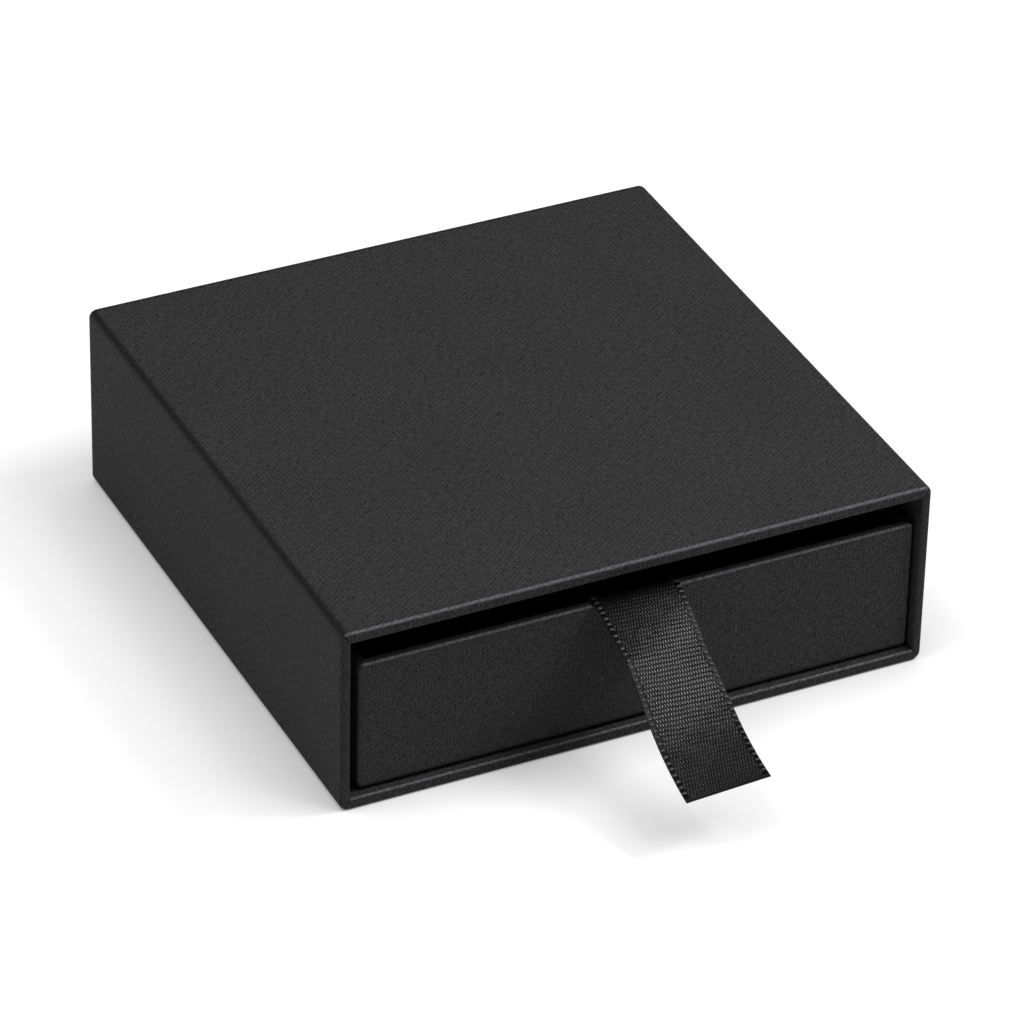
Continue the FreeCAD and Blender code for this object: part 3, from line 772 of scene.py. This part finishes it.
def seen_rays(tree):
    """1 for rays that show the background itself: from the camera, and by reflection or refraction."""
    path = add(tree, "ShaderNodeLightPath")
    glossy = add(tree, "ShaderNodeMath", {0: path.outputs["Is Camera Ray"], 1: path.outputs["Is Glossy Ray"]},
                 operation="MAXIMUM").outputs[0]
    return add(tree, "ShaderNodeMath", {0: glossy, 1: path.outputs["Is Transmission Ray"]},
               operation="MAXIMUM").outputs[0]


def make_world():
    """A studio: a white backdrop up to a little above the horizon, and a dim ceiling over it."""
    world = bpy.data.worlds.new("white_studio")
    bpy.context.scene.world = world
    world.use_nodes = True
    tree = world.node_tree
    tree.nodes.clear()
    direction = add(tree, "ShaderNodeTexCoord").outputs["Generated"]
    rise = add(tree, "ShaderNodeSeparateXYZ", {0: direction}).outputs["Z"]
    ceiling = add(tree, "ShaderNodeMapRange",
                  {"Value": rise, "From Min": BACKDROP_TOP, "From Max": CEILING_FROM},
                  interpolation_type="SMOOTHSTEP").outputs[0]
    backdrop = add(tree, "ShaderNodeMapRange", {"Value": seen_rays(tree), "To Min": BACKDROP_LIGHT,
                                                "To Max": 1.0}).outputs[0]
    strength = add(tree, "ShaderNodeMix", {"Factor": ceiling, "A": backdrop, "B": CEILING_LIGHT},
                   data_type="FLOAT").outputs["Result"]
    background = add(tree, "ShaderNodeBackground", {"Color": (1, 1, 1, 1), "Strength": strength})
    add(tree, "ShaderNodeOutputWorld", {"Surface": background.outputs[0]})


def make_floor():
    """A white table: near by it takes the box's shadow and glows for seen rays, a painted light that ambient
    occlusion dims close to the box, and further off it is plain white.
    """
    bm = bmesh.new()
    bmesh.ops.create_grid(bm, x_segments=1, y_segments=1, size=2)
    mesh = bpy.data.meshes.new("table_top")
    bm.to_mesh(mesh)
    bm.free()
    floor = bpy.data.objects.new("table_top", mesh)
    bpy.context.scene.collection.objects.link(floor)
    material, tree = new_material("white_table")
    place = add(tree, "ShaderNodeTexCoord").outputs["Object"]
    distance = add(tree, "ShaderNodeVectorMath", {0: place}, operation="LENGTH").outputs["Value"]
    far = add(tree, "ShaderNodeMapRange",
              {"Value": distance, "From Min": FLOOR_WHITE_FROM * MM, "From Max": FLOOR_WHITE_PAST * MM},
              interpolation_type="SMOOTHSTEP").outputs[0]
    seen = seen_rays(tree)
    shown = add(tree, "ShaderNodeMath", {0: far, 1: seen}, operation="MULTIPLY").outputs[0]
    # Painted light: the table glows for seen rays, less near the box where ambient occlusion dims it
    opened = add(tree, "ShaderNodeAmbientOcclusion", {"Distance": FLOOR_GLOW_REACH * MM}).outputs["AO"]
    glow = add(tree, "ShaderNodeMath", {0: opened, 1: FLOOR_GLOW}, operation="MULTIPLY").outputs[0]
    painted_glow = add(tree, "ShaderNodeMath", {0: seen, 1: glow}, operation="MULTIPLY").outputs[0]
    lit = add(tree, "ShaderNodeBsdfDiffuse", {"Color": colour("#dadada")})
    glow_shader = add(tree, "ShaderNodeEmission", {"Color": (1, 1, 1, 1), "Strength": painted_glow})
    near = add(tree, "ShaderNodeAddShader", {0: lit.outputs[0], 1: glow_shader.outputs[0]})
    white = add(tree, "ShaderNodeEmission", {"Color": (1, 1, 1, 1), "Strength": 1.0})
    surface(tree, add(tree, "ShaderNodeMixShader", {0: shown, 1: near.outputs[0], 2: white.outputs[0]}))
    mesh.materials.append(material)


def make_lamp(name, direction, size, watts):
    """A softbox that faces the middle of the box from a direction."""
    data = bpy.data.lights.new(name, "AREA")
    data.shape = "RECTANGLE"
    data.size, data.size_y = size
    data.energy = watts
    lamp = bpy.data.objects.new(name, data)
    towards = Vector(direction).normalized()
    lamp.location = towards * LAMP_DISTANCE
    side = Vector((0, 1, 0)).cross(towards).normalized()
    lamp.rotation_euler = Matrix((side, towards.cross(side), towards)).transposed().to_euler()
    bpy.context.scene.collection.objects.link(lamp)


def make_camera():
    """The photograph's camera, turned a little about its own line of sight."""
    data = bpy.data.cameras.new("camera")
    data.lens = CAMERA_LENS
    data.sensor_width = 36
    data.clip_end = 20
    camera = bpy.data.objects.new("camera", data)
    azimuth, elevation, roll = (math.radians(a) for a in (CAMERA_AZIMUTH, CAMERA_ELEVATION, CAMERA_ROLL))
    back = Vector((math.sin(azimuth) * math.cos(elevation), -math.cos(azimuth) * math.cos(elevation),
                   math.sin(elevation)))
    level = Vector((math.cos(azimuth), math.sin(azimuth), 0))
    upright = back.cross(level)
    right = level * math.cos(roll) + upright * math.sin(roll)
    up = upright * math.cos(roll) - level * math.sin(roll)
    turned = Matrix((right, up, back)).transposed().to_4x4()
    camera.matrix_world = Matrix.Translation(Vector(CAMERA_PLACE) * MM) @ turned
    bpy.context.scene.collection.objects.link(camera)
    bpy.context.scene.camera = camera


make_world()
make_floor()
for lamp_settings in LAMPS:
    make_lamp(*lamp_settings)
make_camera()
bpy.context.scene.view_settings.view_transform = "Standard"
